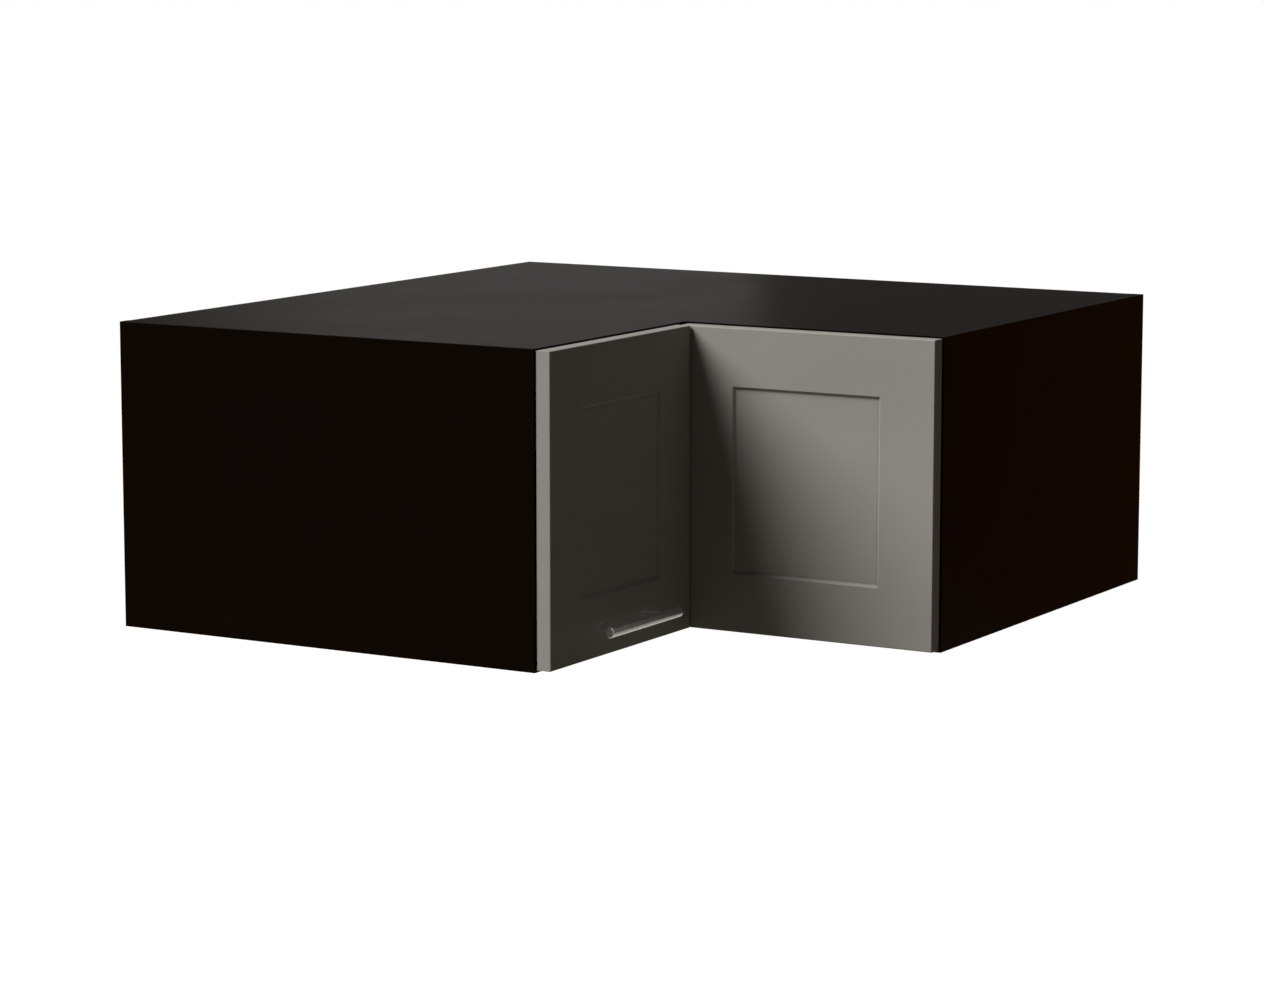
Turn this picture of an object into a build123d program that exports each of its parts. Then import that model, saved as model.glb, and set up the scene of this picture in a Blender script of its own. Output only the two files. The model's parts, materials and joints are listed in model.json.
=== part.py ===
from build123d import *
import math
import os

# Corner wall cabinet, L-shaped in plan, with a folding pair of doors in the inner corner.
# Frame: the origin is where the two walls and the underside meet. The right leg runs
# along +X on the rear wall, the left leg runs along -Y on the side wall, +Z is up.

# Carcass
wall_run = 900.0            # each side of the cabinet, along its wall
carcass_height = 360.0
leg_depth = 566.0           # wall to the front edges of the boards
board = 16.0
back_thickness = 3.0
wall_gap = 2.0              # wall to the rear face of the backs
panel_clearance = 0.3       # backs to the end panels and to each other
batten_width = 30.0
batten_bevel = 12.0

# Doors
door_thickness = 18.0
door_gap = 1.5              # boards to the rear faces of the doors
side_inset = 2.0
top_drop = 2.0
bottom_raise = 3.0
corner_gap = 2.0            # left door's inner edge to the right door's front
corner_lap = 4.5            # left door's rear face to the right door's inner edge
frame_width = 68.0
recess_depth = 3.0
bevel_width = 3.0
edge_round = 1.5

# Handle
bar_diameter = 12.0
bar_length = 156.0
bar_edge_bevel = 0.8
post_spacing = 96.0
post_diameter = 9.0
bar_standoff = 29.0         # door front to the middle of the bar
handle_screw_diameter = 4.0
handle_screw_bite = 12.0
handle_screw_play = 1.0
handle_head_diameter = 9.0
handle_head_height = 2.4

# Concealed hinges
hinge_inset = 75.0          # door ends to the hinge centres
cup_diameter = 35.0
cup_depth = 11.6
cup_wall = 1.0
cup_fit = 0.1
cup_edge_land = 4.4         # door edge to the cup bore
flange_thickness = 1.0
flange_length = 57.0
flange_width = 22.0
flange_round = 6.0
cup_rim_lip = 0.4
cup_screw_spacing = 45.0
cup_screw_offset = 9.5
pin_diameter = 3.0
pin_fit = 0.05
swing_inset = 3.0           # outer side of the cabinet to the axis of the right door
swing_lead = 0.5            # front of the doors to the same axis
arm_pin_inset = 9.0         # end panel to the pins in the arms
arm_pin_setback = 3.5       # front of the boards to the same pins
link_reach = (-14.5, 15.2)  # axis of the right door to the pins in the cups, X and Y
link_half_width = 2.4
link_eye = 4.0
knee_eye = 3.6
inner_link_half = 6.3
outer_link_half = 4.4
fork_gap = 0.5
cheek_gap = 0.7
cheek = 1.6
lug_width = 10.0            # solid sides of the cup, along the door
crank_floor_gap = 1.5       # floor of the cup to the second link
crank_wall_gap = 1.6        # wall of the cup to the second link
crank_overrun = 2.0         # second link's crank past its pin
cup_pin_wall = 1.3
fork_root = 5.0             # slot of the fork, past the eye in the arm
arm_length = 62.0
arm_rise = 18.0             # end panel to the outside of the arm
web_setback = 22.5          # arm pins to the front of the arm's web
plate_line = 37.0           # front of the boards to the plate screws
plate_screw_spacing = 32.0
plate_wing_width = 14.0
plate_wing_length = 50.0
plate_wing_thickness = 3.0
plate_block_length = 32.0
plate_wing_round = 5.0
plate_spine_gap = 0.2
arm_plate_gap = 0.5
arm_screw_step = 4.0        # plate screws to the screw that locks the arm
arm_screw_length = 9.0

# Hinges between the doors
fold_pin_x_gap = 4.5        # left door's rear face to the fold axis
fold_pin_lead = 8.5         # right door's rear face to the fold axis
knuckle_diameter = 9.0
knuckle_length = 12.0
knuckle_play = 0.4
fold_arm_thickness = 3.0
fold_arm_width = 26.0
fold_arm_length = 52.0
fold_arm_round = 4.0
fold_arm_inset = 3.0        # left door's inner edge to the plate
fold_strap_lift = 1.0
fold_notch_gap = 1.0
fold_screw_rows = (8.0, 20.0)
fold_screw_side = 8.0

# Fasteners
wood_screw_diameter = 3.5
wood_screw_length = 13.0
wood_head_diameter = 7.0
wood_head_height = 1.8
system_screw_diameter = 6.0
system_screw_length = 11.0
system_head_diameter = 9.0
system_head_height = 2.0
blade_width = 1.6           # screwdriver slots of the locks
blade_length = 9.0
blade_depth = 1.2
hidden_sides = 8            # flats on threads, dowels and bores that nothing shows
head_sides = 12             # flats that stand for the round of small heads
lock_sides = 16             # the same for the locks and their bores
hole_fit = 0.05             # radial play of fasteners in their holes
cam_diameter = 15.0
cam_depth = 12.5
cam_setback = 24.0
cam_bolt_diameter = 5.0
cam_bolt_bite = 11.0
cam_head_diameter = 6.5
cam_head_length = 3.5
cam_neck_diameter = 3.4
cam_mouth = 7.5             # opening of the locks for the bolts' heads
cam_mouth_reach = 21.0
cam_channel_diameter = 8.0
joint_edge = 70.0           # wall, and front of the boards, to the connecting bolts
dowel_diameter = 8.0
dowel_length = 30.0
dowel_bite = 12.0
dowel_offset = 32.0
dowel_end_play = 1.0

# Cabinet suspension brackets
hanger_height = 62.0
hanger_depth = 40.0
hanger_width = 20.0
hanger_drop = 6.0           # top board to the brackets
hanger_round = 3.0
hook_thickness = 2.0
hook_width = 14.0
hook_height = 34.0
hook_lip = 12.0
slot_play = 3.0
hook_stand = 0.5            # wall to the lip of the hooks
hanger_screw_diameter = 7.0
hanger_screw_sink = 6.0
hanger_screw_height = 4.0
hanger_screw_drops = (43.0, 54.5)

# Bumpers
bumper_diameter = 8.0
bumper_thickness = 1.4
bumper_taper = 0.8
bumper_inset = 8.0

# Places that follow from the sizes above
board_edge = wall_gap + back_thickness
inner_run = wall_run - board
door_rear = leg_depth + door_gap
door_front = door_rear + door_thickness
door_height = carcass_height - top_drop - bottom_raise
right_door_start = door_rear + corner_lap
right_door_width = wall_run - side_inset - right_door_start
left_door_end = -(door_front + corner_gap)
left_door_width = wall_run - side_inset - (door_front + corner_gap)
hinge_heights = (bottom_raise + hinge_inset, bottom_raise + door_height - hinge_inset)
swing_x = wall_run - swing_inset
swing_y = -(door_front + swing_lead)
arm_pin = Vector(inner_run - arm_pin_inset, -leg_depth + arm_pin_setback)
cup_pin = Vector(swing_x + link_reach[0], swing_y + link_reach[1])
knee_pin = Vector(arm_pin.X + link_reach[0], arm_pin.Y + link_reach[1])
cup_x = wall_run - side_inset - cup_edge_land - cup_diameter / 2
fold_cup_x = right_door_start + cup_edge_land + cup_diameter / 2
fold_x = door_rear - fold_pin_x_gap
fold_y = -(door_rear + fold_pin_lead)
pin_radius = pin_diameter / 2
handle_y = -(wall_run - side_inset - left_door_width / 2)
handle_z = bottom_raise + frame_width / 2


def block(x0, x1, y0, y1, z0, z1):
    centre = ((x0 + x1) / 2, (y0 + y1) / 2, (z0 + z1) / 2)
    return Pos(*centre) * Box(x1 - x0, y1 - y0, z1 - z0)


def upright(x, y, radius, z0, z1):
    return Pos(x, y, (z0 + z1) / 2) * Cylinder(radius, z1 - z0)


def rod(start, direction, radius, length):
    axis = Plane(origin=start, z_dir=direction)
    return axis * Cylinder(radius, length, align=(Align.CENTER, Align.CENTER, Align.MIN))


def flatted_rod(start, direction, across, length, sides=hidden_sides):
    """A bar with flats, for threads, dowels, heads and bores that repeat or stay hidden."""
    outline = RegularPolygon(across / 2, sides, major_radius=False)
    return Plane(origin=start, z_dir=direction) * extrude(outline, length)


def screw(seat, direction, shank_diameter, shank_length, head_diameter, head_height):
    """A screw whose head seats at a point and whose shank runs in a direction."""
    shank = flatted_rod(seat, direction, shank_diameter, shank_length)
    return shank + flatted_rod(seat, -Vector(direction), head_diameter, head_height, head_sides)


def screw_hole(seat, direction, shank_diameter, length):
    return flatted_rod(seat, direction, shank_diameter + 2 * hole_fit, length)


def capsule(start, end, half_width):
    run = end - start
    middle = (start + end) * 0.5
    turn = math.degrees(math.atan2(run.Y, run.X))
    return Pos(middle.X, middle.Y) * Rot(0, 0, turn) * SlotCenterToCenter(run.length, 2 * half_width)


def group(solids):
    return Compound(children=list(solids))


def at_hinges(shape):
    return group([Pos(0, 0, z) * shape for z in hinge_heights])


# Board joints. Local X points into the top or bottom board, local Z to the cabinet's inside.
def joint_places(distances):
    places = []
    for z, flip in ((board / 2, 0), (carcass_height - board / 2, 180)):
        for distance in distances:
            places.append(Pos(distance, -inner_run, z) * Rot(0, 0, 90) * Rot(flip, 0, 0))
            places.append(Pos(inner_run, -distance, z) * Rot(0, 0, 180) * Rot(flip, 0, 0))
    return places


cam_distances = (joint_edge, leg_depth - joint_edge)
dowel_distances = (cam_distances[0] + dowel_offset, cam_distances[1] - dowel_offset)
cam_places = joint_places(cam_distances)
dowel_places = joint_places(dowel_distances)


def cam_bolt():
    thread = flatted_rod((0, 0, 0), (-1, 0, 0), cam_bolt_diameter, cam_bolt_bite)
    neck = flatted_rod((0, 0, 0), (1, 0, 0), cam_neck_diameter, cam_setback)
    head_start = cam_setback - cam_head_length / 2
    head = flatted_rod((head_start, 0, 0), (1, 0, 0), cam_head_diameter, cam_head_length)
    return thread + neck + head


def cam_body(across):
    return flatted_rod((cam_setback, 0, board / 2), (0, 0, -1), across, cam_depth, lock_sides)


def cam_lock():
    body = cam_body(cam_diameter - 2 * hole_fit)
    body -= Pos(cam_setback - cam_diameter / 2, 0, 0) * Box(cam_mouth_reach, cam_mouth, cam_mouth)
    return body - Pos(cam_setback, 0, board / 2) * Box(blade_length, blade_width, 2 * blade_depth)


def cut_joint_bores(part):
    for place in cam_places:
        part -= place * cam_body(cam_diameter)
        part -= place * flatted_rod((0, 0, 0), (1, 0, 0), cam_channel_diameter, cam_setback)
    for place in dowel_places:
        depth = dowel_length - dowel_bite + dowel_end_play
        part -= place * flatted_rod((0, 0, 0), (1, 0, 0), dowel_diameter + 2 * hole_fit, depth)
    return part


def cut_panel_bores(part):
    for place in cam_places:
        part -= place * screw_hole((0, 0, 0), (-1, 0, 0), cam_bolt_diameter, cam_bolt_bite)
    for place in dowel_places:
        part -= place * screw_hole((0, 0, 0), (-1, 0, 0), dowel_diameter, dowel_bite)
    return part


# Carcass
def left_end_panel():
    panel = block(0, leg_depth, -wall_run, -inner_run, 0, carcass_height)
    return cut_panel_bores(panel)


def right_end_panel():
    panel = block(inner_run, wall_run, -leg_depth, 0, 0, carcass_height)
    panel = cut_panel_bores(panel)
    for z in plate_screw_heights():
        seat = (inner_run, -leg_depth + plate_line, z)
        panel -= screw_hole(seat, (1, 0, 0), system_screw_diameter, system_screw_length)
    return panel


def corner_board(z):
    outline = Polyline(
        (board_edge, -board_edge),
        (inner_run, -board_edge),
        (inner_run, -leg_depth),
        (leg_depth, -leg_depth),
        (leg_depth, -inner_run),
        (board_edge, -inner_run),
        close=True,
    )
    return cut_joint_bores(Pos(0, 0, z) * extrude(make_face(outline), board))


def top_panel():
    return corner_board(carcass_height - board)


def bottom_panel():
    return corner_board(0)


def hanger_slot_left():
    y = -inner_run + hanger_width / 2
    half = hook_width / 2 + slot_play
    top = carcass_height - board - hanger_drop
    return block(0, board_edge, y - half, y + half, top - hook_height - slot_play, top + slot_play)


def mirror_leg(part):
    """The right leg is the left one mirrored on the diagonal of the corner."""
    return mirror(part, Plane(origin=(0, 0, 0), z_dir=(1, 1, 0)))


def left_back_panel():
    end = -inner_run + panel_clearance
    panel = block(wall_gap, board_edge, end, -wall_gap, 0, carcass_height)
    return panel - hanger_slot_left()


def right_back_panel():
    end = inner_run - panel_clearance
    panel = block(board_edge + panel_clearance, end, -board_edge, -wall_gap, 0, carcass_height)
    return panel - mirror_leg(hanger_slot_left())


def rear_corner_batten():
    inner = board_edge + batten_width
    batten = block(board_edge, inner, -inner, -board_edge, board, carcass_height - board)
    edge = batten.edges().filter_by(Axis.Z).sort_by_distance((inner, -inner, carcass_height / 2))[0]
    return chamfer(edge, batten_bevel)


# Suspension brackets, described on the left leg
def hanger_housing():
    top = carcass_height - board - hanger_drop
    y0 = -inner_run
    body = block(board_edge, board_edge + hanger_depth, y0, y0 + hanger_width, top - hanger_height, top)
    upper = body.edges().filter_by(Axis.Y).sort_by(Axis.X)[-2:]
    body = fillet(upper, hanger_round)
    y = y0 + hanger_width / 2
    half = hook_width / 2 + hole_fit
    pocket_end = board_edge + hanger_depth / 2
    pocket = block(0, pocket_end, y - half, y + half, top - hook_height, top - hook_thickness)
    for drop in hanger_screw_drops:
        mouth = (board_edge + hanger_depth, y, top - drop)
        body -= flatted_rod(mouth, (-1, 0, 0), hanger_screw_diameter, hanger_screw_sink, head_sides)
    return body - pocket


def hanger_hook():
    top = carcass_height - board - hanger_drop
    y = -inner_run + hanger_width / 2
    half = hook_width / 2
    t = hook_thickness
    inner = board_edge + hanger_depth / 2
    z = top - hook_thickness
    arm = block(hook_stand, inner, y - half, y + half, z - t, z)
    lip = block(hook_stand, hook_stand + t, y - half, y + half, z - hook_lip, z)
    root = block(inner - t, inner, y - half, y + half, top - hook_height, z)
    return arm + lip + root


def hanger_screws():
    top = carcass_height - board - hanger_drop
    y = -inner_run + hanger_width / 2
    floor = board_edge + hanger_depth - hanger_screw_sink
    solids = []
    for drop in hanger_screw_drops:
        across = hanger_screw_diameter - 2 * hole_fit
        stud = flatted_rod((floor, y, top - drop), (1, 0, 0), across, hanger_screw_height, head_sides)
        solids += [stud, mirror_leg(stud)]
    return group(solids)


# Doors. A leaf is drawn with its front on local Y = 0 and its lower left corner at the origin.
def door_leaf(width):
    leaf = block(0, width, 0, door_thickness, 0, door_height)
    front = leaf.faces().sort_by(Axis.Y)[0]
    leaf = fillet(front.edges(), edge_round)
    centre = (width / 2, 0, door_height / 2)
    mouth = Plane(origin=centre, x_dir=(1, 0, 0), z_dir=(0, 1, 0))
    floor = Plane(origin=(centre[0], recess_depth, centre[2]), x_dir=(1, 0, 0), z_dir=(0, 1, 0))
    outer = mouth * Rectangle(width - 2 * frame_width, door_height - 2 * frame_width)
    inner = floor * Rectangle(
        width - 2 * frame_width - 2 * bevel_width,
        door_height - 2 * frame_width - 2 * bevel_width,
    )
    return leaf - loft([outer.face(), inner.face()])


def cup_bores(x, side):
    bores = []
    for z in hinge_heights:
        start = (x, -door_rear, z)
        bores.append(rod(start, (0, -1, 0), cup_diameter / 2, cup_depth))
        for way in (-1, 1):
            seat = (x + side * cup_screw_offset, -door_rear, z + way * cup_screw_spacing / 2)
            bores.append(screw_hole(seat, (0, -1, 0), wood_screw_diameter, wood_screw_length))
    return bores


def right_door():
    leaf = Pos(right_door_start, -door_front, bottom_raise) * door_leaf(right_door_width)
    for bore in cup_bores(cup_x, -1) + cup_bores(fold_cup_x, 1):
        leaf -= bore
    return leaf


def left_door():
    place = Pos(door_front, -(wall_run - side_inset), bottom_raise) * Rot(0, 0, 90)
    leaf = place * door_leaf(left_door_width)
    for y in post_places():
        leaf -= screw_hole((door_rear, y, handle_z), (1, 0, 0), handle_screw_diameter, door_thickness)
    for y, z in fold_screw_places():
        leaf -= screw_hole((door_rear, y, z), (1, 0, 0), wood_screw_diameter, wood_screw_length)
    return leaf


# Handle
def post_places():
    return (handle_y - post_spacing / 2, handle_y + post_spacing / 2)


def handle_bar():
    x = door_front + bar_standoff
    bar = rod((x, handle_y - bar_length / 2, handle_z), (0, 1, 0), bar_diameter / 2, bar_length)
    return chamfer(bar.edges().filter_by(GeomType.CIRCLE), bar_edge_bevel)


def handle_posts():
    solids = []
    for y in post_places():
        start = (door_front, y, handle_z)
        post = rod(start, (1, 0, 0), post_diameter / 2, bar_standoff)
        post -= screw_hole(start, (1, 0, 0), handle_screw_diameter, handle_screw_bite)
        axis = (door_front + bar_standoff, y - bar_diameter, handle_z)
        post -= rod(axis, (0, 1, 0), bar_diameter / 2, 2 * bar_diameter)
        solids.append(post)
    return group(solids)


def handle_screws():
    length = door_thickness + handle_screw_bite - handle_screw_play
    solids = []
    for y in post_places():
        seat = (door_rear, y, handle_z)
        solids.append(screw(seat, (1, 0, 0), handle_screw_diameter, length,
                            handle_head_diameter, handle_head_height))
    return group(solids)


# Wide-angle hinges, drawn with the hinge centre on Z = 0
def cup_shell(x):
    outer = rod((x, -door_rear, 0), (0, -1, 0), cup_diameter / 2 - cup_fit, cup_depth)
    inner = rod((x, -door_rear, 0), (0, -1, 0), cup_diameter / 2 - cup_wall, cup_depth - cup_wall / 2)
    return outer - inner


def cup_flange(x, side):
    middle = (x + side * cup_screw_offset / 2, -door_rear, 0)
    seat = Plane(origin=middle, x_dir=(1, 0, 0), z_dir=(0, 1, 0))
    plate = extrude(seat * RectangleRounded(flange_width, flange_length, flange_round), flange_thickness)
    ring = rod((x, -door_rear, 0), (0, 1, 0), cup_diameter / 2 + cup_rim_lip, flange_thickness)
    inner = rod((x, -door_rear, 0), (0, 1, 0), cup_diameter / 2 - cup_wall, flange_thickness)
    flange = plate + ring - inner
    for way in (-1, 1):
        hole = (x + side * cup_screw_offset, -door_rear, way * cup_screw_spacing / 2)
        flange -= screw_hole(hole, (0, 1, 0), wood_screw_diameter, flange_thickness)
    return flange


def cup_lugs(x, pin):
    """Solid sides of the cup that carry the pin."""
    radius = cup_diameter / 2 - cup_wall / 2
    core = rod((x, -door_rear, 0), (0, -1, 0), radius, cup_depth - cup_wall / 4)
    reach = cup_diameter
    inside = inner_link_half + cheek_gap + cheek / 2
    start = pin.X - lug_width / 2
    end = pin.X + lug_width / 2
    keep = block(start, end, -door_rear - cup_depth, -door_rear, inside, reach)
    keep += block(start, end, -door_rear - cup_depth, -door_rear, -reach, -inside)
    return core & keep


def right_hinge_cup():
    clear = inner_link_half + cheek_gap
    cup = cup_shell(cup_x) + cup_flange(cup_x, -1) + cup_lugs(cup_x, cup_pin)
    cup -= block(cup_x, wall_run, -door_rear, -leg_depth, -clear, clear)
    return cup - upright(cup_pin.X, cup_pin.Y, pin_radius, -cup_diameter, cup_diameter)


def right_hinge_cup_pin():
    dx = cup_pin.X - cup_x
    span = math.sqrt((cup_diameter / 2 - cup_wall) ** 2 - dx ** 2)
    return upright(cup_pin.X, cup_pin.Y, pin_radius, -span, span)


def cup_screws(x, side):
    solids = []
    for z in hinge_heights:
        for way in (-1, 1):
            seat = (x + side * cup_screw_offset, -door_rear + flange_thickness,
                    z + way * cup_screw_spacing / 2)
            solids.append(screw(seat, (0, -1, 0), wood_screw_diameter, wood_screw_length,
                                wood_head_diameter, wood_head_height))
    return group(solids)


def link_hole(pin, half, play):
    return upright(pin.X, pin.Y, pin_radius + play, -half, half)


def inner_link():
    """First link: an eye on the arm's pin and a fork round the second link."""
    plan = capsule(arm_pin, knee_pin, link_half_width)
    plan += Pos(arm_pin.X, arm_pin.Y) * Circle(link_eye)
    plan += Pos(knee_pin.X, knee_pin.Y) * Circle(link_eye)
    link = extrude(plan, inner_link_half, both=True)
    slot_half = outer_link_half + fork_gap
    run = (arm_pin - knee_pin).length
    turn = math.degrees(math.atan2(knee_pin.Y - arm_pin.Y, knee_pin.X - arm_pin.X))
    slot = Pos(arm_pin.X, arm_pin.Y) * Rot(0, 0, turn) * Pos(run / 2 + link_eye + fork_root, 0) * Box(
        run, 4 * link_eye, 2 * slot_half)
    link -= slot
    link -= link_hole(arm_pin, inner_link_half, pin_fit)
    return link - link_hole(knee_pin, inner_link_half, 0)


def outer_link():
    """Second link: cranked, so that it reaches round the edge of the open door."""
    low = -door_rear - cup_depth + cup_wall + link_half_width + crank_floor_gap
    far = Vector(cup_x - cup_diameter / 2 + cup_wall + link_half_width + crank_wall_gap, low)
    near = Vector(cup_pin.X - crank_overrun, low)
    plan = capsule(knee_pin, far, link_half_width)
    plan += capsule(far, near, link_half_width)
    plan += capsule(near, cup_pin, link_half_width)
    plan += Pos(knee_pin.X, knee_pin.Y) * Circle(knee_eye)
    plan += Pos(cup_pin.X, cup_pin.Y) * Circle(pin_radius + cup_pin_wall)
    link = extrude(plan, outer_link_half, both=True)
    link -= link_hole(knee_pin, outer_link_half, pin_fit)
    return link - link_hole(cup_pin, outer_link_half, pin_fit)


def knee_pin_solid():
    return upright(knee_pin.X, knee_pin.Y, pin_radius, -inner_link_half, inner_link_half)


def arm_cheeks():
    rear = arm_pin.Y + arm_length
    outside = inner_run - arm_rise
    inside = inner_run - plate_wing_thickness - arm_plate_gap
    web_front = arm_pin.Y + web_setback
    outline = Polyline(
        (arm_pin.X - link_eye, arm_pin.Y),
        (outside, web_front),
        (outside, rear),
        (inside, rear),
        (inside, arm_pin.Y + 2 * link_eye),
        (arm_pin.X + link_eye, arm_pin.Y),
        close=True,
    )
    plan = make_face(outline) + Pos(arm_pin.X, arm_pin.Y) * Circle(link_eye)
    half = inner_link_half + cheek_gap
    return extrude(plan, half + cheek, both=True) - extrude(plan, half, both=True)


def hinge_arm():
    outside = inner_run - arm_rise
    half = inner_link_half + cheek_gap + cheek
    web_front = arm_pin.Y + web_setback
    web = block(outside, outside + cheek, web_front, arm_pin.Y + arm_length, -half, half)
    arm = arm_cheeks() + web
    arm -= screw_hole((outside, plate_middle(), 0), (1, 0, 0), wood_screw_diameter, cheek)
    return arm - link_hole(arm_pin, half, 0)


def arm_pin_solid():
    half = inner_link_half + cheek_gap + cheek
    return upright(arm_pin.X, arm_pin.Y, pin_radius, -half, half)


def plate_middle():
    return -leg_depth + plate_line + arm_screw_step


def plate_screw_heights():
    half = plate_screw_spacing / 2
    return [z + way * half for z in hinge_heights for way in (-1, 1)]


def mounting_plate():
    y = -leg_depth + plate_line
    seat = Plane(origin=(inner_run, y, 0), x_dir=(0, 1, 0), z_dir=(-1, 0, 0))
    wings = extrude(seat * RectangleRounded(plate_wing_width, plate_wing_length, plate_wing_round),
                    plate_wing_thickness)
    middle = plate_middle()
    half = inner_link_half + cheek_gap - plate_spine_gap
    top = inner_run - arm_rise + cheek
    start = middle - plate_block_length / 2
    spine = block(top, inner_run, start, start + plate_block_length, -half, half)
    plate = wings + spine
    for way in (-1, 1):
        hole = (inner_run, y, way * plate_screw_spacing / 2)
        plate -= screw_hole(hole, (-1, 0, 0), system_screw_diameter, plate_wing_thickness)
    return plate - screw_hole((top, middle, 0), (1, 0, 0), wood_screw_diameter, arm_screw_length - cheek)


def hinge_plate_screws():
    solids = []
    for z in plate_screw_heights():
        seat = (inner_run - plate_wing_thickness, -leg_depth + plate_line, z)
        solids.append(screw(seat, (1, 0, 0), system_screw_diameter, system_screw_length,
                            system_head_diameter, system_head_height))
    return group(solids)


def hinge_arm_screws():
    seat = (inner_run - arm_rise, plate_middle(), 0)
    return at_hinges(screw(seat, (1, 0, 0), wood_screw_diameter, arm_screw_length,
                           wood_head_diameter, wood_head_height))


# Hinges between the doors, drawn with the hinge centre on Z = 0
def fold_hinge_cup():
    """A cup in the right door, whose arm bends round the door's edge to two knuckles."""
    cup = cup_shell(fold_cup_x) + cup_flange(fold_cup_x, 1)
    rear = -door_rear
    half = knuckle_length / 2 + knuckle_play
    outer = half + knuckle_length / 2
    fill_start = fold_cup_x - cup_diameter / 2 + cup_wall
    core = rod((fold_cup_x, rear, 0), (0, -1, 0), cup_diameter / 2 - cup_wall / 2, cup_depth)
    boss = core & block(fill_start, fold_cup_x, rear - cup_depth, rear, -outer, outer)
    lift = rear + flange_thickness
    strap = block(fold_x, fold_cup_x, lift, lift + fold_arm_thickness, -outer, outer)
    tie = block(fill_start, fold_cup_x, rear, lift, -outer, outer)
    edge = fold_x + fold_arm_thickness
    side = block(fold_x - fold_arm_thickness / 2, edge, fold_y, lift + fold_arm_thickness, -outer, outer)
    knuckle = upright(fold_x, fold_y, knuckle_diameter / 2, -outer, outer)
    arm = strap + side + knuckle
    arm -= block(fold_x - knuckle_diameter, edge + knuckle_diameter, fold_y - knuckle_diameter,
                 fold_y + knuckle_diameter / 2 + fold_notch_gap, -half, half)
    cup = cup + boss + tie + arm
    return cup - upright(fold_x, fold_y, pin_radius, -outer, outer)


def fold_screw_offsets():
    """Y of each screw of the plate and its height above or below the hinge's centre."""
    end = left_door_end - fold_arm_length
    return [(end + fold_screw_rows[0], fold_screw_side), (end + fold_screw_rows[1], -fold_screw_side)]


def fold_screw_places():
    return [(y, z + rise) for z in hinge_heights for y, rise in fold_screw_offsets()]


def fold_hinge_arm():
    """The other half: a plate on the left door with a knuckle between the two."""
    end = left_door_end - fold_arm_length
    seat_x = door_rear - fold_arm_thickness
    half_width = fold_arm_width / 2
    half = knuckle_length / 2
    pad = block(seat_x, door_rear, end, left_door_end - fold_arm_inset, -half_width, half_width)
    pad = fillet(pad.edges().filter_by(Axis.X), fold_arm_round)
    knuckle = upright(fold_x, fold_y, knuckle_diameter / 2, -half, half)
    strap_start = seat_x - fold_strap_lift
    strap_end = door_rear - fold_strap_lift / 2
    strap = block(strap_start, strap_end, end + fold_arm_length / 2, fold_y, -half, half)
    arm = pad + strap + knuckle
    for y, rise in fold_screw_offsets():
        arm -= screw_hole((seat_x, y, rise), (1, 0, 0), wood_screw_diameter, fold_arm_thickness)
    return arm - upright(fold_x, fold_y, pin_radius + pin_fit, -knuckle_length, knuckle_length)


def fold_hinge_pin():
    half = knuckle_length + knuckle_play
    return upright(fold_x, fold_y, pin_radius, -half, half)


def fold_arm_screws():
    seat_x = door_rear - fold_arm_thickness
    solids = []
    for y, z in fold_screw_places():
        solids.append(screw((seat_x, y, z), (1, 0, 0), wood_screw_diameter, wood_screw_length,
                            wood_head_diameter, wood_head_height))
    return group(solids)


def door_bumpers():
    solids = []
    for z in (bottom_raise + bumper_inset, bottom_raise + door_height - bumper_inset):
        seat = Plane(origin=(door_rear, -(wall_run - board / 2), z), z_dir=(-1, 0, 0))
        solids.append(seat * Cone(
            bumper_diameter / 2,
            bumper_diameter / 2 - bumper_taper,
            bumper_thickness,
            align=(Align.CENTER, Align.CENTER, Align.MIN),
        ))
    return group(solids)


nodes = {
    "left_end_panel": left_end_panel,
    "right_end_panel": right_end_panel,
    "top_panel": top_panel,
    "bottom_panel": bottom_panel,
    "left_back_panel": left_back_panel,
    "right_back_panel": right_back_panel,
    "rear_corner_batten": rear_corner_batten,
    "cam_bolts": lambda: group([place * cam_bolt() for place in cam_places]),
    "cam_locks": lambda: group([place * cam_lock() for place in cam_places]),
    "wood_dowels": lambda: group([
        place * flatted_rod((-dowel_bite, 0, 0), (1, 0, 0), dowel_diameter, dowel_length)
        for place in dowel_places
    ]),
    "left_hanger_housing": hanger_housing,
    "right_hanger_housing": lambda: mirror_leg(hanger_housing()),
    "left_hanger_hook": hanger_hook,
    "right_hanger_hook": lambda: mirror_leg(hanger_hook()),
    "hanger_screws": hanger_screws,
    "hinge_mounting_plates": lambda: at_hinges(mounting_plate()),
    "hinge_arms": lambda: at_hinges(hinge_arm()),
    "hinge_arm_pins": lambda: at_hinges(arm_pin_solid()),
    "hinge_arm_screws": hinge_arm_screws,
    "hinge_plate_screws": hinge_plate_screws,
    "hinge_inner_links": lambda: at_hinges(inner_link()),
    "hinge_knee_pins": lambda: at_hinges(knee_pin_solid()),
    "hinge_outer_links": lambda: at_hinges(outer_link()),
    "right_door": right_door,
    "right_hinge_cups": lambda: at_hinges(right_hinge_cup()),
    "right_cup_pins": lambda: at_hinges(right_hinge_cup_pin()),
    "right_cup_screws": lambda: cup_screws(cup_x, -1),
    "fold_hinge_cups": lambda: at_hinges(fold_hinge_cup()),
    "fold_cup_screws": lambda: cup_screws(fold_cup_x, 1),
    "fold_hinge_pins": lambda: at_hinges(fold_hinge_pin()),
    "fold_hinge_arms": lambda: at_hinges(fold_hinge_arm()),
    "fold_arm_screws": fold_arm_screws,
    "left_door": left_door,
    "door_bumpers": door_bumpers,
    "handle_bar": handle_bar,
    "handle_posts": handle_posts,
    "handle_screws": handle_screws,
}

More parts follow.
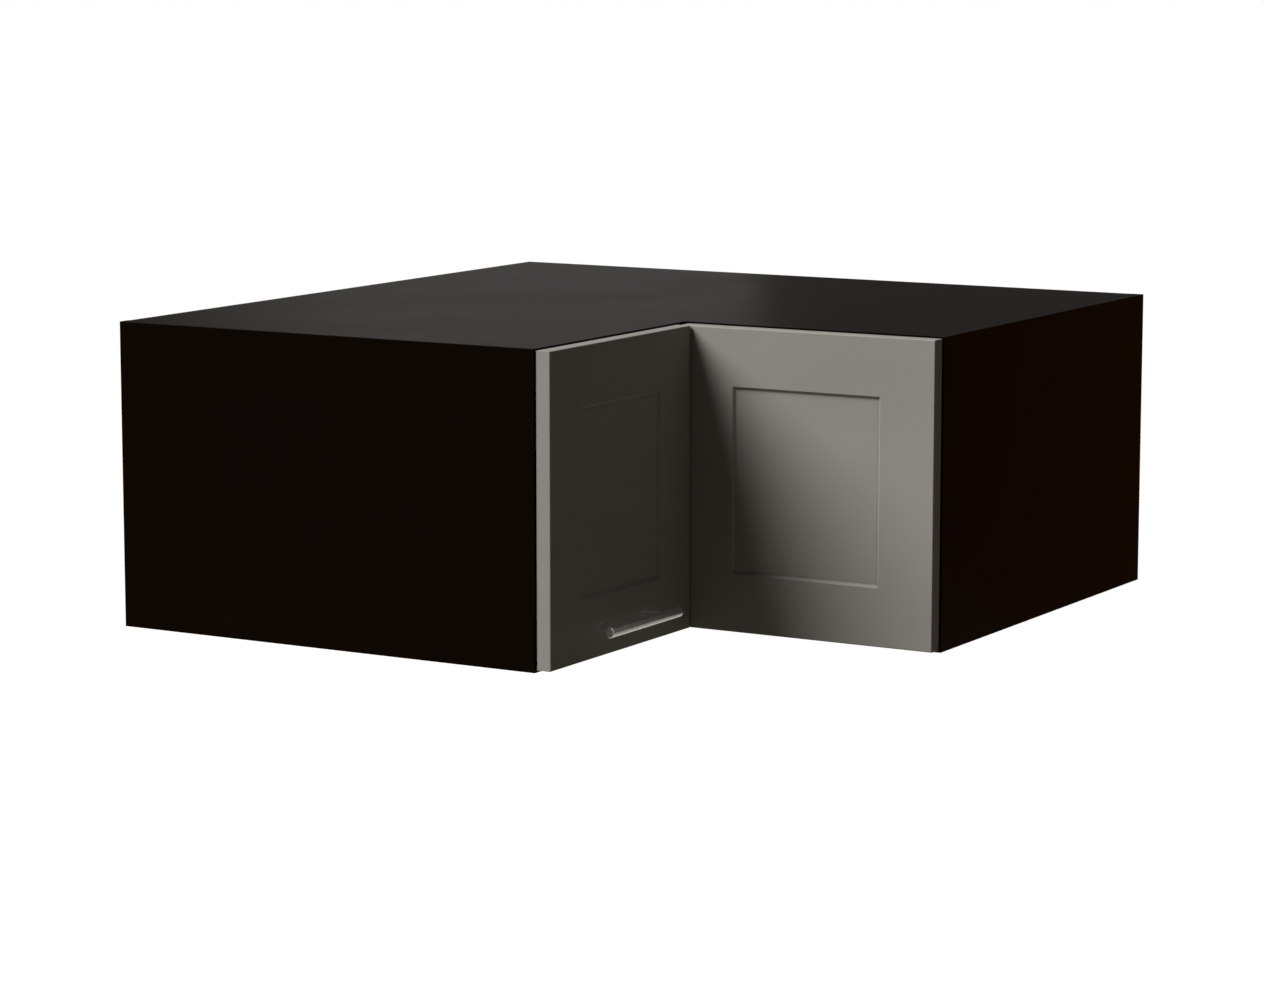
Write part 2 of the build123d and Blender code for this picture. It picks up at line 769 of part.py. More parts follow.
os.makedirs("parts", exist_ok=True)
for name, make in nodes.items():
    export_step(make(), f"parts/{name}.step")
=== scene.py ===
import json
import math

import bmesh
import bpy
from mathutils import Matrix, Vector


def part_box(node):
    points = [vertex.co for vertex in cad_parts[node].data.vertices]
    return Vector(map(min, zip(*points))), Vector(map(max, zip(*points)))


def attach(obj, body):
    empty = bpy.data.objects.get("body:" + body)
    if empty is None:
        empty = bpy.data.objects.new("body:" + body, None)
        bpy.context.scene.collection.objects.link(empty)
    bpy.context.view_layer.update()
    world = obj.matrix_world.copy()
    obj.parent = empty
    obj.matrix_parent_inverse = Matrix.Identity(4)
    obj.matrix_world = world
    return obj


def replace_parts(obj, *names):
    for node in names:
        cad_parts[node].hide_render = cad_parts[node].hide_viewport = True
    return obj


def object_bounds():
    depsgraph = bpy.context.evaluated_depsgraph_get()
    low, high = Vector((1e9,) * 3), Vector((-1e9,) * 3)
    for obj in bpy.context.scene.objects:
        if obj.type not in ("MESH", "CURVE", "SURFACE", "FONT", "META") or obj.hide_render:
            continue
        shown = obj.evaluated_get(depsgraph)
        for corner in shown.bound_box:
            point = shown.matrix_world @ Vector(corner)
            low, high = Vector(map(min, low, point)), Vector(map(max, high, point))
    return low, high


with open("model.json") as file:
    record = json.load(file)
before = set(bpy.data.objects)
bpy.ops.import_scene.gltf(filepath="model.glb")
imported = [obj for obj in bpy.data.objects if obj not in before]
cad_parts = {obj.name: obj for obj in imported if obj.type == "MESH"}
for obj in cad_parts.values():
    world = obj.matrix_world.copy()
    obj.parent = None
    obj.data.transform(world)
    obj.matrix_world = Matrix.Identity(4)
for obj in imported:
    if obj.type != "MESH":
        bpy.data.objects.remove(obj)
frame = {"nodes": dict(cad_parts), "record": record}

# Corner wall cabinet with a folding pair of doors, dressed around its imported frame.
# Lengths are in metres. The origin is the corner of the two walls, at the underside.
nodes = frame["nodes"]
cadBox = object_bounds()
bodyOf = {}
for bodyName, members in frame["record"]["behaviour"]["bodies"].items():
    for member in members:
        bodyOf[member] = bodyName
slotOf = {name: node.data.materials[0].name for name, node in nodes.items()}
mergeReach = 0.000002       # corners closer than this are one
scene = bpy.context.scene
scene.view_settings.view_transform = "Standard"
print("frame loaded:", len(nodes), "nodes")


# Camera
view = {
    "place": (2.7901, -4.4821, 0.8348),
    "pitch": 81.35,         # degrees up from straight down
    "turn": 30.38,
    "lens": 110.83,         # millimetres, as the sensor is
    "sensor": 36,
    "reach": 200,           # far end of what the camera sees
}
cameraData = bpy.data.cameras.new("camera")
cameraData.lens = view["lens"]
cameraData.sensor_width = view["sensor"]
cameraData.clip_end = view["reach"]
camera = bpy.data.objects.new("camera", cameraData)
camera.location = view["place"]
camera.rotation_euler = (math.radians(view["pitch"]), 0, math.radians(view["turn"]))
scene.collection.objects.link(camera)
scene.camera = camera


# Node tools: a socket is fed a fixed value or the output of another node
def feed(tree, socket, value):
    if isinstance(value, bpy.types.NodeSocket):
        tree.links.new(value, socket)
    else:
        socket.default_value = value


def addNode(tree, kind, place, settings=None, inputs=None):
    node = tree.nodes.new(kind)
    node.location = place
    for key, value in (settings or {}).items():
        setattr(node, key, value)
    for key, value in (inputs or {}).items():
        feed(tree, node.inputs[key], value)
    return node


def addNoise(tree, place, vector, scale, detail, roughness=0.5):
    noise = addNode(tree, "ShaderNodeTexNoise", place, inputs={
        "Vector": vector, "Scale": scale, "Detail": detail, "Roughness": roughness})
    return noise.outputs["Fac"]


def mapRange(tree, place, value, start=0.0, end=1.0, low=0.0, high=1.0, curve="LINEAR"):
    spread = addNode(tree, "ShaderNodeMapRange", place, {"interpolation_type": curve}, {
        "Value": value, "From Min": start, "From Max": end, "To Min": low, "To Max": high})
    return spread.outputs["Result"]


# Values worked together from the left, in a row of Math nodes
def calculate(tree, place, operation, *values, clamp=False):
    result = values[0]
    for step, value in enumerate(values[1:]):
        spot = (place[0] + 170 * step, place[1])
        settings = {"operation": operation, "use_clamp": clamp}
        result = addNode(tree, "ShaderNodeMath", spot, settings, {0: result, 1: value}).outputs["Value"]
    return result


def dotProduct(tree, place, first, second):
    product = addNode(tree, "ShaderNodeVectorMath", place, {"operation": "DOT_PRODUCT"}, {
        0: first, 1: second})
    return product.outputs["Value"]


firstColour, secondColour, mixedColour = 6, 7, 2        # colour sockets of a Mix node


def mixColours(tree, place, factor, first, second, blend="MIX"):
    mix = addNode(tree, "ShaderNodeMix", place, {"data_type": "RGBA", "blend_type": blend}, {
        "Factor": factor, firstColour: first, secondColour: second})
    return mix.outputs[mixedColour]


def newGroup(name, inputs, outputs):
    tree = bpy.data.node_groups.new(name, "ShaderNodeTree")
    for direction, sockets in (("INPUT", inputs), ("OUTPUT", outputs)):
        for title, kind in sockets.items():
            tree.interface.new_socket(name=title, in_out=direction, socket_type="NodeSocket" + kind)
    given = addNode(tree, "NodeGroupInput", (-800, 0)).outputs
    result = addNode(tree, "NodeGroupOutput", (600, 0)).inputs
    return tree, given, result


# Soft patches between two colours, for sheen, dye and handling marks
def makeMottleGroup():
    tree, given, result = newGroup("mottle", {
        "Vector": "Vector", "Scale": "Float", "Dark": "Color", "Light": "Color",
    }, {"Color": "Color", "Value": "Float"})
    noise = addNoise(tree, (-500, 100), given["Vector"], given["Scale"], detail=5.0, roughness=0.6)
    patches = mapRange(tree, (-250, 100), noise, start=0.3, end=0.7)
    feed(tree, result["Color"], mixColours(tree, (100, 0), patches, given["Dark"], given["Light"]))
    feed(tree, result["Value"], patches)
    return tree


# Rubbed edges: one where a sharp edge is near, broken up by noise
def makeWearGroup():
    tree, given, result = newGroup("edgeWear", {
        "Vector": "Vector", "Radius": "Float", "Amount": "Float",
    }, {"Mask": "Float"})
    rounded = addNode(tree, "ShaderNodeBevel", (-550, 200), {"samples": 6}, {"Radius": given["Radius"]})
    geometry = addNode(tree, "ShaderNodeNewGeometry", (-550, 0))
    bend = dotProduct(tree, (-350, 150), rounded.outputs["Normal"], geometry.outputs["Normal"])
    edge = mapRange(tree, (-150, 150), bend, start=0.99, end=0.85)
    noise = addNoise(tree, (-350, -200), given["Vector"], scale=60.0, detail=6.0)
    broken = mapRange(tree, (-150, -200), noise, start=0.4, end=0.62)
    mask = calculate(tree, (100, 50), "MULTIPLY", edge, broken, given["Amount"], clamp=True)
    feed(tree, result["Mask"], mask)
    return tree


# Painted shade: inner corners and recesses darken towards a shade colour, by how near other surfaces are
def makeCornerShadeGroup():
    tree, given, result = newGroup("paintedCornerShade", {
        "Unshaded": "Color", "Shaded": "Color", "Reach": "Float", "Amount": "Float",
    }, {"Color": "Color"})
    # painted shade: an occlusion reading picks out inner corners, which take the darker shade colour
    near = addNode(tree, "ShaderNodeAmbientOcclusion", (-550, 0), {"samples": 8, "only_local": True}, {
        "Distance": given["Reach"]})
    closed = mapRange(tree, (-300, 0), near.outputs["AO"], start=1.0, end=0.8)
    amount = calculate(tree, (-50, 0), "MULTIPLY", closed, given["Amount"], clamp=True)
    feed(tree, result["Color"], mixColours(tree, (250, 0), amount, given["Unshaded"], given["Shaded"]))
    return tree


# Fine pits and pearls of a pressed, sprayed or cast skin, as a height
def makeSkinGroup():
    tree, given, result = newGroup("skin", {
        "Vector": "Vector", "Scale": "Float", "Pits": "Float",
    }, {"Height": "Float"})
    noise = addNoise(tree, (-500, 100), given["Vector"], given["Scale"], detail=3.0, roughness=0.55)
    cells = addNode(tree, "ShaderNodeTexVoronoi", (-500, -150), {"feature": "F1"}, {
        "Vector": given["Vector"], "Scale": given["Scale"]})
    pits = mapRange(tree, (-250, -150), cells.outputs["Distance"], start=0.05, end=0.3)
    depth = calculate(tree, (0, -150), "MULTIPLY", pits, given["Pits"])
    feed(tree, result["Height"], calculate(tree, (250, 0), "ADD", noise, depth))
    return tree


# Long fibres or brush lines, by a vector that is drawn out along one axis
def makeStreakGroup():
    tree, given, result = newGroup("streaks", {
        "Vector": "Vector", "Low": "Float", "High": "Float",
    }, {"Height": "Float", "Value": "Float"})
    noise = addNoise(tree, (-500, 100), given["Vector"], scale=1.0, detail=8.0, roughness=0.7)
    lines = mapRange(tree, (-200, 0), noise, start=0.35, end=0.65, low=given["Low"], high=given["High"])
    feed(tree, result["Height"], noise)
    feed(tree, result["Value"], lines)
    return tree


mottle = makeMottleGroup()
edgeWear = makeWearGroup()
paintedCornerShade = makeCornerShadeGroup()
skin = makeSkinGroup()
streaks = makeStreakGroup()
print("shader groups built")


# A finish starts as a named material with its shader and its object coordinates
def newFinish(name, values):
    material = bpy.data.materials.new(name)
    material.use_nodes = True
    tree = material.node_tree
    shader = tree.nodes["Principled BSDF"]
    for key, value in values.items():
        shader.inputs[key].default_value = value
    coordinates = addNode(tree, "ShaderNodeTexCoord", (-1400, 0)).outputs
    return material, tree, shader, coordinates


def placeGroup(tree, group, place, inputs):
    return addNode(tree, "ShaderNodeGroup", place, {"node_tree": group}, inputs).outputs


def stretch(tree, place, vector, scale):
    mapping = addNode(tree, "ShaderNodeMapping", place, inputs={"Vector": vector, "Scale": scale})
    return mapping.outputs["Vector"]


def addBump(tree, shader, height, look):
    bump = addNode(tree, "ShaderNodeBump", (-250, -400), inputs={
        "Height": height, "Strength": look["bump"], "Distance": look["bumpDepth"]})
    feed(tree, shader.inputs["Normal"], bump.outputs["Normal"])


def spreadRoughness(tree, shader, value, look):
    rough = mapRange(tree, (-450, -150), value, low=look["smooth"], high=look["rough"])
    feed(tree, shader.inputs["Roughness"], rough)


# Colour of a finish: two mottled shades, a third one rubbed through on edges, and painted shade darkening
# inner corners
def colourFinish(tree, shader, vector, look):
    patches = placeGroup(tree, mottle, (-900, 250), {
        "Vector": vector, "Scale": look["patchScale"], "Dark": look["dark"], "Light": look["light"]})
    worn = placeGroup(tree, edgeWear, (-900, 0), {
        "Vector": vector, "Radius": look["wearRadius"], "Amount": look["wear"]})
    unshaded = mixColours(tree, (-450, 200), worn["Mask"], patches["Color"], look["rubbed"])
    # painted shade: inner corners and recesses turn towards the darker shade colour
    cornerShaded = placeGroup(tree, paintedCornerShade, (-250, 200), {
        "Unshaded": unshaded, "Shaded": look["cornerShadeColour"], "Reach": look["cornerShadeReach"], "Amount": look["corner"]})
    feed(tree, shader.inputs["Base Color"], cornerShaded["Color"])
    return patches["Value"]


# Board faces, paint, moulded plastic and plain metal: a fine skin over mottled colour
def makeSkinFinish(name, look):
    material, tree, shader, coordinates = newFinish(name, look["shader"])
    vector = coordinates["Object"]
    patches = colourFinish(tree, shader, vector, look)
    spreadRoughness(tree, shader, patches, look)
    height = placeGroup(tree, skin, (-900, -400), {
        "Vector": vector, "Scale": look["skinScale"], "Pits": look["pits"]})
    addBump(tree, shader, height["Height"], look)
    return material


# Scales are in patterns per metre. "wear", "corner" and "pits" go from none, 0, to full, 1. The corner values
# and the darkest colour set the painted shade in inner corners.
laminateLook = {
    "shader": {"Specular IOR Level": 0.02},
    "dark": (0.0036, 0.0018, 0.0007, 1),
    "light": (0.0044, 0.0023, 0.0009, 1),
    "rubbed": (0.014, 0.009, 0.005, 1),
    "cornerShadeColour": (0.002, 0.0012, 0.0007, 1),
    # the corner values and the darkest colour above are painted shade in inner corners
    "cornerShadeReach": 0.004,
    "corner": 0.5,
    "patchScale": 5.0,
    "wearRadius": 0.0006,
    "wear": 0.35,
    "smooth": 0.15,
    "rough": 0.2,
    "skinScale": 650.0,
    "pits": 0.25,
    "bump": 0.025,
    "bumpDepth": 0.0001,
}
lacquerLook = {
    "shader": {"Specular IOR Level": 0.2},
    "dark": (0.255, 0.243, 0.22, 1),
    "light": (0.275, 0.263, 0.238, 1),
    "rubbed": (0.31, 0.3, 0.28, 1),
    "cornerShadeColour": (0.1, 0.094, 0.084, 1),
    "cornerShadeReach": 0.0045,
    "corner": 0.55,
    "patchScale": 5.0,
    "wearRadius": 0.0008,
    "wear": 0.12,
    "smooth": 0.48,
    "rough": 0.6,
    "skinScale": 1100.0,
    "pits": 0.15,
    "bump": 0.1,
    "bumpDepth": 0.00015,
}
bracketLook = {
    "shader": {"Specular IOR Level": 0.4},
    "dark": (0.56, 0.56, 0.54, 1),
    "light": (0.64, 0.64, 0.62, 1),
    "rubbed": (0.7, 0.7, 0.68, 1),
    "cornerShadeColour": (0.3, 0.3, 0.29, 1),
    "cornerShadeReach": 0.003,
    "corner": 0.4,
    "patchScale": 40.0,
    "wearRadius": 0.0006,
    "wear": 0.4,
    "smooth": 0.38,
    "rough": 0.52,
    "skinScale": 1500.0,
    "pits": 0.4,
    "bump": 0.15,
    "bumpDepth": 0.0001,
}
castLook = {
    "shader": {"Metallic": 1.0},
    "dark": (0.36, 0.36, 0.37, 1),
    "light": (0.5, 0.5, 0.51, 1),
    "rubbed": (0.68, 0.68, 0.69, 1),
    "cornerShadeColour": (0.16, 0.16, 0.16, 1),
    "cornerShadeReach": 0.002,
    "corner": 0.6,
    "patchScale": 90.0,
    "wearRadius": 0.0005,
    "wear": 0.7,
    "smooth": 0.4,
    "rough": 0.62,
    "skinScale": 1800.0,
    "pits": 0.8,
    "bump": 0.35,
    "bumpDepth": 0.0001,
}
zincLook = {
    "shader": {"Metallic": 1.0},
    "dark": (0.5, 0.52, 0.55, 1),
    "light": (0.68, 0.69, 0.7, 1),
    "rubbed": (0.8, 0.8, 0.8, 1),
    "cornerShadeColour": (0.25, 0.25, 0.25, 1),
    "cornerShadeReach": 0.0012,
    "corner": 0.5,
    "patchScale": 120.0,
    "wearRadius": 0.0004,
    "wear": 0.7,
    "smooth": 0.24,
    "rough": 0.42,
    "skinScale": 2600.0,
    "pits": 0.3,
    "bump": 0.15,
    "bumpDepth": 0.0001,
}
nickelLook = {
    "shader": {"Metallic": 1.0},
    "dark": (0.6, 0.58, 0.54, 1),
    "light": (0.66, 0.64, 0.6, 1),
    "rubbed": (0.8, 0.79, 0.77, 1),
    "cornerShadeColour": (0.26, 0.25, 0.23, 1),
    "cornerShadeReach": 0.0015,
    "corner": 0.45,
    "patchScale": 45.0,
    "wearRadius": 0.0003,
    "wear": 0.4,
    "smooth": 0.22,
    "rough": 0.3,
    "skinScale": 2200.0,
    "pits": 0.1,
    "bump": 0.04,
    "bumpDepth": 0.0001,
}


# Turned and brushed steel of the handle: fine rings round the bar
handleSteelLook = {
    "shader": {"Metallic": 0.7, "Specular IOR Level": 0.3},
    "dark": (0.58, 0.57, 0.55, 1),
    "light": (0.66, 0.65, 0.63, 1),
    "rubbed": (0.7, 0.69, 0.67, 1),
    "cornerShadeColour": (0.3, 0.29, 0.28, 1),
    "cornerShadeReach": 0.002,
    "corner": 0.3,
    "patchScale": 45.0,
    "wearRadius": 0.0004,
    "wear": 0.5,
    "rings": (60, 5200, 60),
    "smooth": 0.25,
    "rough": 0.32,
    "bump": 0.05,
    "bumpDepth": 0.0001,
}


def makeHandleSteel(name, look):
    material, tree, shader, coordinates = newFinish(name, look["shader"])
    vector = coordinates["Object"]
    colourFinish(tree, shader, vector, look)
    rings = placeGroup(tree, streaks, (-900, -350), {
        "Vector": stretch(tree, (-1150, -300), vector, look["rings"]),
        "Low": look["smooth"], "High": look["rough"]})
    feed(tree, shader.inputs["Roughness"], rings["Value"])
    addBump(tree, shader, rings["Height"], look)
    return material


# Softwood of the batten and beech of the dowels: year rings with fibres over them
woodLook = {
    "shader": {"Specular IOR Level": 0.35},
    "wave": {"Scale": 1.0, "Distortion": 6.0, "Detail": 3.0, "Detail Scale": 1.2},
    "smooth": 0.55,
    "rough": 0.75,
    "bump": 0.3,
    "bumpDepth": 0.0003,
}
battenLook = {
    **woodLook,
    "light": (0.5, 0.33, 0.17, 1),
    "dark": (0.33, 0.19, 0.085, 1),
    "fibre": (900, 900, 30),
    "rings": (60, 60, 3),
    "fleck": 0.35,
}
dowelLook = {
    **woodLook,
    "light": (0.46, 0.3, 0.17, 1),
    "dark": (0.38, 0.23, 0.12, 1),
    "fibre": (700, 700, 700),
    "rings": (160, 160, 160),
    "fleck": 0.25,
}


def makeWood(name, look):
    material, tree, shader, coordinates = newFinish(name, look["shader"])
    vector = coordinates["Object"]
    fibres = placeGroup(tree, streaks, (-900, -350), {
        "Vector": stretch(tree, (-1150, -300), vector, look["fibre"]), "Low": 0.0, "High": 1.0})
    rings = addNode(tree, "ShaderNodeTexWave", (-900, 300), {"wave_type": "RINGS", "rings_direction": "Z"}, {
        "Vector": stretch(tree, (-1150, 300), vector, look["rings"]), **look["wave"]})
    grain = mixColours(tree, (-600, 200), rings.outputs["Fac"], look["light"], look["dark"])
    flecked = mixColours(tree, (-350, 200), look["fleck"], grain, fibres["Value"], "MULTIPLY")
    feed(tree, shader.inputs["Base Color"], flecked)
    spreadRoughness(tree, shader, fibres["Value"], look)
    addBump(tree, shader, fibres["Height"], look)
    return material


# Hardboard: dark film towards the inside of the cabinet, raw pressed fibre on the rear
hardboardLook = {
    "shader": {"Specular IOR Level": 0.25},
    "dark": (0.085, 0.045, 0.022, 1),
    "light": (0.16, 0.09, 0.048, 1),
    "fibreScale": 420.0,
    "clouds": {"Scale": 9.0, "Dark": (0.78, 0.78, 0.78, 1), "Light": (1, 1, 1, 1)},
    "film": (0.006, 0.0045, 0.0035, 1),
    "filmSide": (1, -1, 0),             # the way that the film faces
    "filmEdge": (0.4, 0.5),             # how far a face has to look that way
    "smooth": 0.5,
    "rough": 0.7,
    "bump": 0.25,
    "bumpDepth": 0.0002,
}


def makeHardboard(name, look):
    material, tree, shader, coordinates = newFinish(name, look["shader"])
    vector = coordinates["Object"]
    fibres = placeGroup(tree, mottle, (-900, 300), {
        "Vector": vector, "Scale": look["fibreScale"], "Dark": look["dark"], "Light": look["light"]})
    clouds = placeGroup(tree, mottle, (-900, 50), {"Vector": vector, **look["clouds"]})
    raw = mixColours(tree, (-650, 250), 1.0, fibres["Color"], clouds["Color"], "MULTIPLY")
    inward = dotProduct(tree, (-1150, -300), coordinates["Normal"], look["filmSide"])
    film = mapRange(tree, (-900, -200), inward, *look["filmEdge"])
    feed(tree, shader.inputs["Base Color"], mixColours(tree, (-400, 200), film, raw, look["film"]))
    spreadRoughness(tree, shader, clouds["Value"], look)
    addBump(tree, shader, fibres["Value"], look)
    return material


# Soft clear dots that quiet the doors
bumperLook = {
    "shader": {"Transmission Weight": 1.0, "IOR": 1.49},
    "patches": {"Scale": 300.0, "Dark": (0.86, 0.88, 0.86, 1), "Light": (0.95, 0.96, 0.94, 1)},
    "skin": {"Scale": 700.0, "Pits": 0.1},
    "smooth": 0.08,
    "rough": 0.2,
    "bump": 0.08,
    "bumpDepth": 0.0001,
}


def makeClearBumper(name, look):
    material, tree, shader, coordinates = newFinish(name, look["shader"])
    vector = coordinates["Object"]
    patches = placeGroup(tree, mottle, (-900, 250), {"Vector": vector, **look["patches"]})
    feed(tree, shader.inputs["Base Color"], patches["Color"])
    spreadRoughness(tree, shader, patches["Value"], look)
    height = placeGroup(tree, skin, (-900, -400), {"Vector": vector, **look["skin"]})
    addBump(tree, shader, height["Height"], look)
    return material


finishes = {
    "carcass_laminate": makeSkinFinish("carcassLaminate", laminateLook),
    "door_lacquer": makeSkinFinish("doorLacquer", lacquerLook),
    "bracket_plastic": makeSkinFinish("bracketPlastic", bracketLook),
    "cast_zinc": makeSkinFinish("castZinc", castLook),
    "zinc_steel": makeSkinFinish("zincSteel", zincLook),
    "nickel_steel": makeSkinFinish("nickelSteel", nickelLook),
    "handle_steel": makeHandleSteel("handleSteel", handleSteelLook),
    "batten_wood": makeWood("battenWood", battenLook),
    "dowel_wood": makeWood("dowelWood", dowelLook),
    "backing_board": makeHardboard("backingBoard", hardboardLook),
    "clear_bumper": makeClearBumper("clearBumper", bumperLook),
}
print("finishes made:", len(finishes))


# A piece takes its body and its finish from a node, and smooth ones keep their flat faces flat
def addPiece(bm, nodeName, title, smooth=True):
    for face in bm.faces:
        face.smooth = smooth
    mesh = bpy.data.meshes.new(title)
    bm.to_mesh(mesh)
    bm.free()
    mesh.materials.append(finishes[slotOf[nodeName]])
    piece = bpy.data.objects.new(title, mesh)
    scene.collection.objects.link(piece)
    if smooth:
        weights = piece.modifiers.new("flatFacesFirst", "WEIGHTED_NORMAL")
        weights.mode = "FACE_AREA"
        weights.weight = 100
    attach(piece, bodyOf[nodeName])
    return piece


def mergedCopy(nodeName):
    bm = bmesh.new()
    bm.from_mesh(nodes[nodeName].data)
    bmesh.ops.remove_doubles(bm, verts=bm.verts, dist=mergeReach)
    return bm


# The node's own shape with its flat faces joined and its hard edges eased
easing = {"flatAngle": 0.5, "hardAngle": 35, "segments": 2}         # angles in degrees


def easeEdges(nodeName, title, width):
    bm = mergedCopy(nodeName)
    flat = math.radians(easing["flatAngle"])
    hard = math.radians(easing["hardAngle"])
    bmesh.ops.dissolve_limit(bm, angle_limit=flat, verts=bm.verts, edges=bm.edges)
    edges = [edge for edge in bm.edges if len(edge.link_faces) == 2 and edge.calc_face_angle(0) > hard]
    bmesh.ops.bevel(
        bm, geom=edges, offset=width, offset_type="OFFSET", segments=easing["segments"],
        profile=0.5, affect="EDGES", clamp_overlap=True, material=-1)
    bmesh.ops.dissolve_degenerate(bm, dist=mergeReach, edges=bm.edges)
    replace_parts(addPiece(bm, nodeName, title), nodeName)


boards = {
    "ease": 0.0004,
    "pieces": {
        "left_end_panel": "left_end_board",
        "right_end_panel": "right_end_board",
        "top_panel": "top_board",
        "bottom_panel": "bottom_board",
        "right_door": "right_door_leaf",
        "left_door": "left_door_leaf",
    },
}
metalParts = {
    "ease": 0.00018,
    "pieces": {
        "hinge_mounting_plates": "stamped_mounting_plates",
        "hinge_arms": "stamped_hinge_arms",
        "hinge_inner_links": "forged_inner_links",
        "hinge_outer_links": "cranked_outer_links",
        "right_hinge_cups": "drawn_hinge_cups",
        "fold_hinge_cups": "drawn_fold_cups",
        "fold_hinge_arms": "stamped_fold_arms",
        "left_hanger_hook": "left_rail_hook",
        "right_hanger_hook": "right_rail_hook",
    },
}
mouldedParts = {
    "ease": 0.0005,
    "pieces": {             # the batten's edges are sanded about as round
        "left_hanger_housing": "left_bracket_case",
        "right_hanger_housing": "right_bracket_case",
        "rear_corner_batten": "sawn_corner_batten",
    },
}
for kind in (boards, metalParts, mouldedParts):
    for nodeName, title in kind["pieces"].items():
        easeEdges(nodeName, title, kind["ease"])
print("edges eased")


# The backs sit tight between their neighbours, so that no light passes beside them
backs = {
    "reach": 0.0003,        # how far an end moves into its clearance
    "pieces": {             # axis 0 is x and 1 is y; end 0 is the low one
        "left_back_panel": {"title": "left_back_board", "axis": 1, "ends": [0]},
        "right_back_panel": {"title": "right_back_board", "axis": 0, "ends": [0, 1]},
    },
}


def makeBack(nodeName, back):
    bm = mergedCopy(nodeName)
    axis = back["axis"]
    limits = [corner[axis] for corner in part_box(nodeName)]
    for end in back["ends"]:
        verts = [vert for vert in bm.verts if abs(vert.co[axis] - limits[end]) < backs["reach"]]
        shift = Vector((0, 0, 0))
        shift[axis] = backs["reach"] if end else -backs["reach"]
        bmesh.ops.translate(bm, verts=verts, vec=shift)
    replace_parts(addPiece(bm, nodeName, back["title"], smooth=False), nodeName)


for nodeName, back in backs["pieces"].items():
    makeBack(nodeName, back)
print("backs fitted")


# Turned shapes: a profile of (radius, height) pairs spun round the vertical axis
def turnProfile(bm, profile, segments):
    points = [bm.verts.new((radius, 0, height)) for radius, height in profile]
    edges = [bm.edges.new(pair) for pair in zip(points, points[1:])]
    bmesh.ops.spin(
        bm, geom=points + edges, cent=(0, 0, 0), axis=(0, 0, 1), dvec=(0, 0, 0),
        angle=2 * math.pi, steps=segments, use_merge=True)
    bmesh.ops.remove_doubles(bm, verts=bm.verts, dist=mergeReach)
    bmesh.ops.recalc_face_normals(bm, faces=bm.faces)


# Adds a small mesh to a bmesh with its own vertical axis along a direction
def placeCopy(bm, template, place, direction):
    first = len(bm.verts)
    bm.from_mesh(template)
    bm.verts.ensure_lookup_table()
    turn = Vector(direction).to_track_quat("Z", "Y").to_matrix().to_4x4()
    bmesh.ops.transform(bm, matrix=Matrix.Translation(place) @ turn, verts=bm.verts[first:])


# Handle bar: round ends with a small bevel and the rings that the lathe leaves on their faces
bar = {
    "segments": 64,
    "bevel": 0.0007,
    "bulge": 0.3,           # inset of the bevel's middle, in widths of the bevel
    "groove": 0.00004,
    "grooves": 4,
}


def makeHandleBar():
    low, high = (Vector(corner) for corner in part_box("handle_bar"))
    middle = (low + high) / 2
    half = (high.y - low.y) / 2
    radius = (high.x - low.x) / 2
    flat = radius - bar["bevel"]
    inset = bar["bevel"] * bar["bulge"]
    steps = 2 * bar["grooves"]
    end = [(0, half)]
    for step in range(1, steps):
        end.append((step * flat / steps, half - bar["groove"] * (step % 2)))
    end += [(flat, half), (radius - inset, half - inset), (radius, half - bar["bevel"])]
    profile = end + [(width, -height) for width, height in reversed(end)]
    bm = bmesh.new()
    turnProfile(bm, profile, bar["segments"])
    turn = Matrix.Rotation(math.radians(90), 4, "X")
    bmesh.ops.transform(bm, matrix=Matrix.Translation(middle) @ turn, verts=bm.verts)
    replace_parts(addPiece(bm, "handle_bar", "turned_handle_bar"), "handle_bar")


makeHandleBar()
print("handle bar turned")


# Screws and connector locks: "out" is the way that a head faces, "flat" the flat share of its
# radius, "cross" the width of the recess and "sink" its depth
smallScrew = {"head": 0.007, "height": 0.0018, "flat": 0.78, "shank": 0.0035, "cross": 0.0044, "sink": 0.0014}
screws = {
    "right_cup_screws": {**smallScrew, "title": "right_cup_cross_screws", "out": (0, 1, 0)},
    "fold_cup_screws": {**smallScrew, "title": "fold_cup_cross_screws", "out": (0, 1, 0)},
    "fold_arm_screws": {**smallScrew, "title": "fold_arm_cross_screws", "out": (-1, 0, 0)},
    "hinge_plate_screws": {
        "title": "plate_cross_screws", "out": (-1, 0, 0), "head": 0.009, "height": 0.002,
        "flat": 0.8, "shank": 0.006, "cross": 0.0052, "sink": 0.0016},
    "hinge_arm_screws": {**smallScrew, "title": "arm_cross_screws", "out": (-1, 0, 0)},
    "handle_screws": {
        "title": "handle_cross_screws", "out": (-1, 0, 0), "head": 0.009, "height": 0.0024,
        "flat": 0.7, "shank": 0.004, "cross": 0.0048, "sink": 0.0018},
    "hanger_screws": {
        "title": "bracket_adjusters", "out": "leg", "head": 0.0068, "height": 0.0038,
        "flat": 0.9, "cross": 0.0042, "sink": 0.002},
    "cam_locks": {
        "title": "connector_locks", "out": "board", "head": 0.0148, "height": 0.0124,
        "flat": 0.94, "cross": 0.0074, "sink": 0.0024},
}
screwForm = {
    "sides": 24,            # as many as the rim of the cross has corners
    "taper": 0.7,           # floor of the cross against its mouth
    "shoulder": [(0.3, 0.25), (0, 0.8)],        # inset and drop, in widths of the soft rim
    "tip": 0.3,             # closing face against what it closes
    "pitch": 0.0016,
    "root": 0.8,            # thread root against the shank
    "rootDrop": 0.35,       # depths of a root and of the next ridge, in pitches
    "ridgeDrop": 0.7,
}


